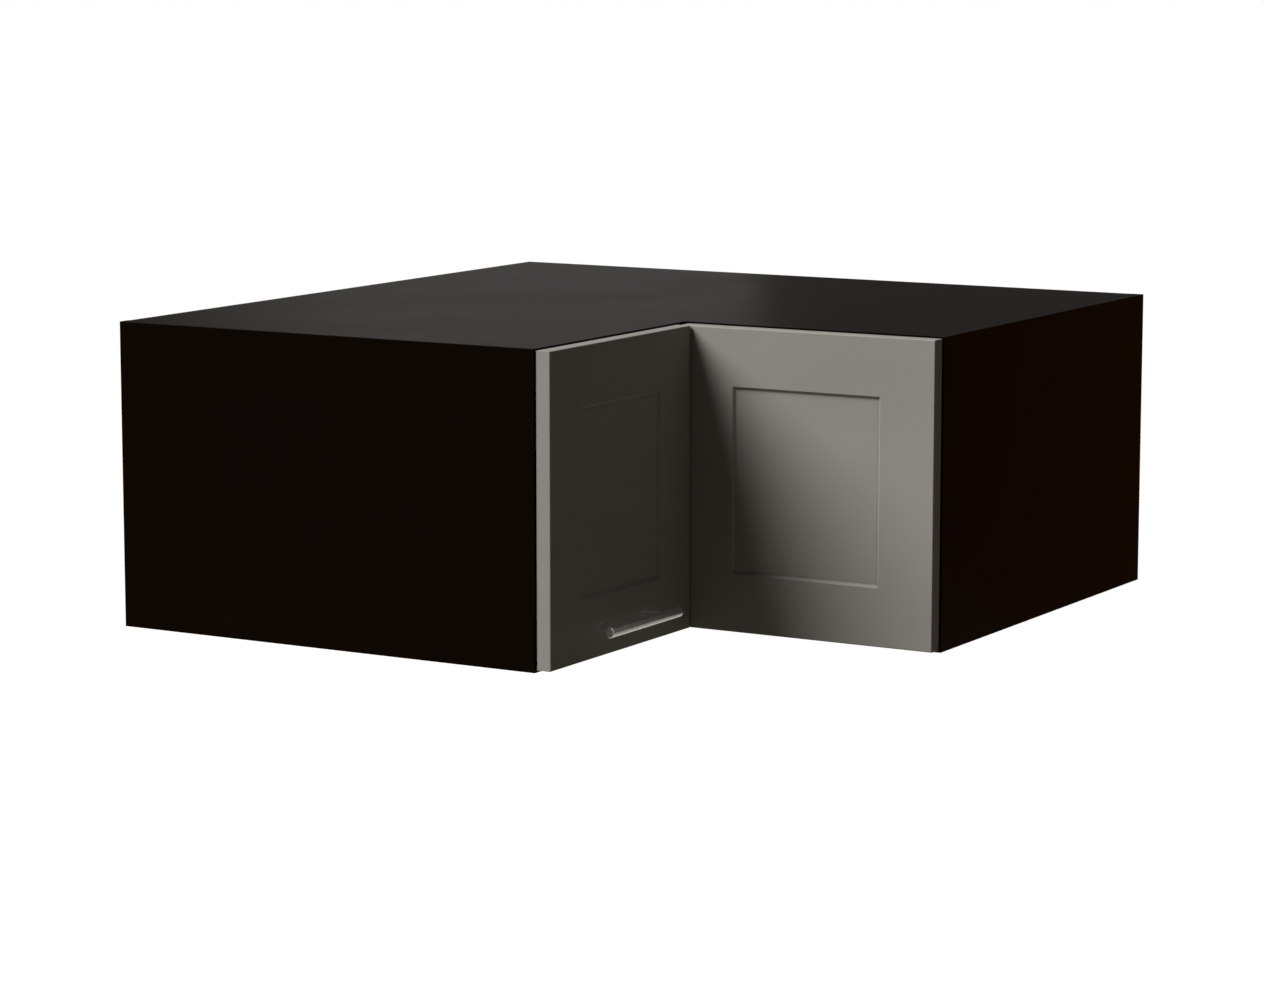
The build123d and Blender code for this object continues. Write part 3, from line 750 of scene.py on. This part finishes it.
def makeCrossHead(name, screw, profile):
    bm = bmesh.new()
    cells = 3               # the mouth of the cross is a grid without its corner cells
    bmesh.ops.create_grid(bm, x_segments=cells, y_segments=cells, size=screw["cross"] / 2)
    halfCell = screw["cross"] / (2 * cells)
    cornerCells = [
        face for face in bm.faces
        if min(abs(value) for value in face.calc_center_median().xy) > halfCell]
    bmesh.ops.delete(bm, geom=cornerCells, context="FACES")
    rim = [edge for edge in bm.edges if len(edge.link_faces) == 1]
    bmesh.ops.subdivide_edges(bm, edges=rim, cuts=1)
    crossFaces = list(bm.faces)
    rim = [edge for edge in bm.edges if len(edge.link_faces) == 1]
    circle = bmesh.ops.create_circle(
        bm, cap_ends=False, segments=screwForm["sides"], radius=screw["flat"] * screw["head"] / 2)["verts"]
    ring = [edge for edge in bm.edges if edge.verts[0] in circle and edge.verts[1] in circle]
    bmesh.ops.bridge_loops(bm, edges=rim + ring)
    for radius, height in profile:
        grown = bmesh.ops.extrude_edge_only(bm, edges=ring)["geom"]
        verts = [item for item in grown if isinstance(item, bmesh.types.BMVert)]
        fresh = set(verts)
        ring = [edge for edge in bm.edges if edge.verts[0] in fresh and edge.verts[1] in fresh]
        scale = radius / verts[0].co.xy.length
        bmesh.ops.scale(bm, vec=(scale, scale, 1), verts=verts)
        bmesh.ops.translate(bm, vec=(0, 0, height - verts[0].co.z), verts=verts)
    bmesh.ops.edgeloop_fill(bm, edges=ring)
    sunk = bmesh.ops.extrude_face_region(bm, geom=crossFaces)["geom"]
    verts = [item for item in sunk if isinstance(item, bmesh.types.BMVert)]
    bmesh.ops.translate(bm, vec=(0, 0, -screw["sink"]), verts=verts)
    bmesh.ops.scale(bm, vec=(screwForm["taper"], screwForm["taper"], 1), verts=verts)
    bmesh.ops.delete(bm, geom=crossFaces, context="FACES")
    bmesh.ops.recalc_face_normals(bm, faces=bm.faces)
    mesh = bpy.data.meshes.new(name)
    bm.to_mesh(mesh)
    bm.free()
    return mesh


# Boxes of a node's separate solids
def solidBoxes(nodeName):
    bm = mergedCopy(nodeName)
    seen = set()
    boxes = []
    for start in bm.verts:
        if start in seen:
            continue
        seen.add(start)
        found = [start]
        for vert in found:
            for edge in vert.link_edges:
                other = edge.other_vert(vert)
                if other not in seen:
                    seen.add(other)
                    found.append(other)
        low = Vector([min(vert.co[axis] for vert in found) for axis in range(3)])
        high = Vector([max(vert.co[axis] for vert in found) for axis in range(3)])
        boxes.append((low, high))
    bm.free()
    return boxes


# Adjusters face into their own leg of the cabinet, locks face into the cabinet from their board
def facing(screw, middle):
    if screw["out"] == "leg":
        return Vector((1, 0, 0)) if middle.x < -middle.y else Vector((0, -1, 0))
    if screw["out"] == "board":
        return Vector((0, 0, 1)) if middle.z < cadBox[1][2] / 2 else Vector((0, 0, -1))
    return Vector(screw["out"])


# From the flat of the head downwards
def headProfile(screw, length):
    radius = screw["head"] / 2
    height = screw["height"]
    soft = radius - radius * screw["flat"]
    profile = [(radius - soft * inset, -soft * drop) for inset, drop in screwForm["shoulder"]]
    profile.append((radius, -height))
    if "shank" not in screw:
        return profile + [(radius * screwForm["tip"], -height)]
    shank = screw["shank"] / 2
    pitch = screwForm["pitch"]
    profile.append((shank, -height))
    for ridge in range(int((length - height) / pitch)):
        start = -height - ridge * pitch
        profile.append((shank * screwForm["root"], start - pitch * screwForm["rootDrop"]))
        profile.append((shank, start - pitch * screwForm["ridgeDrop"]))
    return profile + [(shank * screwForm["tip"], -length)]


def makeScrews(nodeName, screw):
    bm = bmesh.new()
    template = None
    for low, high in solidBoxes(nodeName):
        middle = (low + high) / 2
        out = facing(screw, middle)
        length = abs((high - low).dot(out))
        if template is None:
            template = makeCrossHead(nodeName, screw, headProfile(screw, length))
        placeCopy(bm, template, middle + out * length / 2, out)
    bpy.data.meshes.remove(template)
    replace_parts(addPiece(bm, nodeName, screw["title"]), nodeName)


for nodeName, screw in screws.items():
    makeScrews(nodeName, screw)
print("screws and locks made")


# Nails that hold the backs to the boards and to the batten
nails = {
    "head": 0.0042,
    "height": 0.0008,
    "spacing": 0.14,
    "end": 0.03,            # from the end of a back to its first nail
    "segments": 14,
    "profile": [(0, 1), (0.55, 0.92), (0.9, 0.55), (1, 0), (0, 0)],     # in shares of radius and height
}


# Evenly spread places from start to end, about a spacing apart
def stations(start, end, spacing):
    count = max(2, round(abs(end - start) / spacing) + 1)
    return [start + (end - start) * step / (count - 1) for step in range(count)]


def makeNails():
    radius = nails["head"] / 2
    shape = bmesh.new()
    profile = [(radius * width, nails["height"] * rise) for width, rise in nails["profile"]]
    turnProfile(shape, profile, nails["segments"])
    template = bpy.data.meshes.new("nail_shape")
    shape.to_mesh(template)
    shape.free()
    boardLow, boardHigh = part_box("bottom_panel")
    battenLow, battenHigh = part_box("rear_corner_batten")
    low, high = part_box("left_back_panel")
    face = low[0]
    halfBoard = (boardHigh[2] - boardLow[2]) / 2
    rows = (low[2] + halfBoard, high[2] - halfBoard)
    column = (battenLow[1] + battenHigh[1]) / 2
    row = stations(low[1] + nails["end"], high[1] - nails["end"], nails["spacing"])
    places = [(along, level) for level in rows for along in row]
    places += [(column, level) for level in stations(*rows, nails["spacing"])[1:-1]]
    bm = bmesh.new()
    for along, level in places:
        placeCopy(bm, template, (face, along, level), (-1, 0, 0))
        placeCopy(bm, template, (-along, -face, level), (0, 1, 0))
    bpy.data.meshes.remove(template)
    addPiece(bm, "cam_bolts", "back_panel_nails")       # of the bolts' steel, and on their body


makeNails()
print("nails made")

for name, node in nodes.items():
    node.data.materials[0] = finishes[slotOf[name]]


# What gloss finds round the object: a card behind it, dim walls, a warm wall at the right
surroundings = {
    "ambient": 0.018,                   # light from all sides, for what isn't gloss
    "cardAim": (-0.506, 0.863, 0),      # direction of the card
    "cardSide": (0.863, 0.506, 0),      # to the right of that
    "cardLeft": (-0.16, -0.06),         # where the card's soft left edge starts and ends
    "cardRight": (0.036, 0.03),         # the same for its right edge, from outside
    "cardGlow": 0.148,
    "rearHalf": (0.0, 0.1),             # where the walls in front turn into those behind
    "frontWall": 0.38,
    "rearWall": 0.034,
    "sideWall": (0.45, 0.6),            # where the warm side wall starts and is full
    "sideGlow": 0.22,
    "sideColour": (1, 0.37, 0.08, 1),
    "wallTop": (0.35, 0.55),            # height of a direction at which the walls turn white
}
white = (1, 1, 1, 1)


# Strength of a white surface: full to the camera and through glass, as given to gloss, else the rest
def seenStrength(tree, path, gloss, full, rest):
    direct = calculate(tree, (-700, -500), "MAXIMUM", path["Is Camera Ray"], path["Is Transmission Ray"])
    glossy = calculate(tree, (-700, -700), "MULTIPLY", path["Is Glossy Ray"], gloss)
    seen = calculate(tree, (-500, -500), "MAXIMUM", direct, glossy)
    return mapRange(tree, (-300, -500), seen, low=rest, high=full)


def fade(tree, place, value, start, end, low=0.0, high=1.0):
    return mapRange(tree, place, value, start, end, low, high, "SMOOTHSTEP")


floorForm = {
    "drop": 1.4,            # underside of a wall cabinet above the floor
    "size": 12.0,
    "squares": 8,
    "colour": (0.148, 0.132, 0.102, 1),
    "rough": 0.9,
    "glow": 0.93,                       # white that the camera sees
    "glossGlow": 0.72,                  # white that gloss finds near the object
    "glossReach": (2.0, 5.5),           # distance at which it starts to fade and ends
    "glossRight": (1.3, 2.5),           # the same towards the right
}


def makeFloor():
    bm = bmesh.new()
    bmesh.ops.create_grid(
        bm, x_segments=floorForm["squares"], y_segments=floorForm["squares"], size=floorForm["size"] / 2)
    middle = (Vector(cadBox[0]) + Vector(cadBox[1])) / 2
    bmesh.ops.translate(bm, verts=bm.verts, vec=(middle.x, middle.y, -floorForm["drop"]))
    mesh = bpy.data.meshes.new("floor")
    bm.to_mesh(mesh)
    bm.free()
    floor = bpy.data.objects.new("floor", mesh)
    scene.collection.objects.link(floor)
    material, tree, shader, coordinates = newFinish("paleFloor", {
        "Base Color": floorForm["colour"], "Roughness": floorForm["rough"],
        "Specular IOR Level": 0.0, "Emission Color": white})
    vector = coordinates["Object"]
    distance = addNode(tree, "ShaderNodeVectorMath", (-1200, -700), {"operation": "LENGTH"}, {0: vector})
    aside = dotProduct(tree, (-1200, -900), vector, surroundings["cardSide"])
    near = fade(
        tree, (-1000, -700), distance.outputs["Value"], *floorForm["glossReach"], floorForm["glossGlow"], 0.0)
    left = fade(tree, (-1000, -1000), aside, *floorForm["glossRight"], 1.0, 0.0)
    lit = calculate(tree, (-800, -900), "MULTIPLY", near, left)
    gloss = calculate(tree, (-600, -900), "MAXIMUM", lit, surroundings["frontWall"])
    path = addNode(tree, "ShaderNodeLightPath", (-1000, -400)).outputs
    strength = seenStrength(tree, path, gloss, floorForm["glow"], 0.0)
    feed(tree, shader.inputs["Emission Strength"], strength)
    mesh.materials.append(material)


keyForm = {
    "strength": 4.75,
    "spread": 36.0,         # degrees
    "aim": (0.5, 0.54, -0.66),
}


def makeKeyLight():
    key = bpy.data.lights.new("keyLight", "SUN")
    key.energy = keyForm["strength"]
    key.angle = math.radians(keyForm["spread"])
    lamp = bpy.data.objects.new("keyLight", key)
    lamp.rotation_euler = Vector(keyForm["aim"]).to_track_quat("-Z", "Y").to_euler()
    scene.collection.objects.link(lamp)


def makeSurroundings():
    world = bpy.data.worlds.new("studio")
    scene.world = world
    world.use_nodes = True
    tree = world.node_tree
    background = tree.nodes["Background"]
    direction = addNode(tree, "ShaderNodeTexCoord", (-1900, -900)).outputs["Generated"]
    ahead = dotProduct(tree, (-1700, -700), direction, surroundings["cardAim"])
    aside = dotProduct(tree, (-1700, -900), direction, surroundings["cardSide"])
    height = addNode(tree, "ShaderNodeSeparateXYZ", (-1700, -1100), inputs={"Vector": direction})
    left = fade(tree, (-1500, -300), aside, *surroundings["cardLeft"])
    right = fade(tree, (-1500, -600), aside, *surroundings["cardRight"], 0.0, surroundings["cardGlow"])
    behind = fade(tree, (-1500, -900), ahead, *surroundings["rearHalf"])
    card = calculate(tree, (-1300, -400), "MULTIPLY", left, right, behind)
    walls = fade(
        tree, (-1500, -1200), ahead, *surroundings["rearHalf"],
        surroundings["frontWall"], surroundings["rearWall"])
    rightWall = fade(tree, (-1500, -1500), aside, *surroundings["sideWall"])
    side = calculate(tree, (-1300, -1500), "MULTIPLY", rightWall, behind)
    warm = fade(tree, (-1100, -1500), side, 0.0, 1.0, 0.0, surroundings["sideGlow"])
    above = fade(tree, (-1500, -1800), height.outputs["Z"], *surroundings["wallTop"])
    gloss = calculate(tree, (-1300, -1000), "MAXIMUM", card, walls, warm, above)
    path = addNode(tree, "ShaderNodeLightPath", (-900, -200)).outputs
    feed(tree, background.inputs["Strength"], seenStrength(tree, path, gloss, 1.0, surroundings["ambient"]))
    below = fade(tree, (-1300, -1800), above, 0.0, 1.0, 1.0, 0.0)
    tinted = calculate(tree, (-700, -200), "MULTIPLY", side, below, path["Is Glossy Ray"])
    colour = mixColours(tree, (-300, -200), tinted, white, surroundings["sideColour"])
    feed(tree, background.inputs["Color"], colour)


makeFloor()
makeKeyLight()
makeSurroundings()
print("stage set")

print("pieces ready")
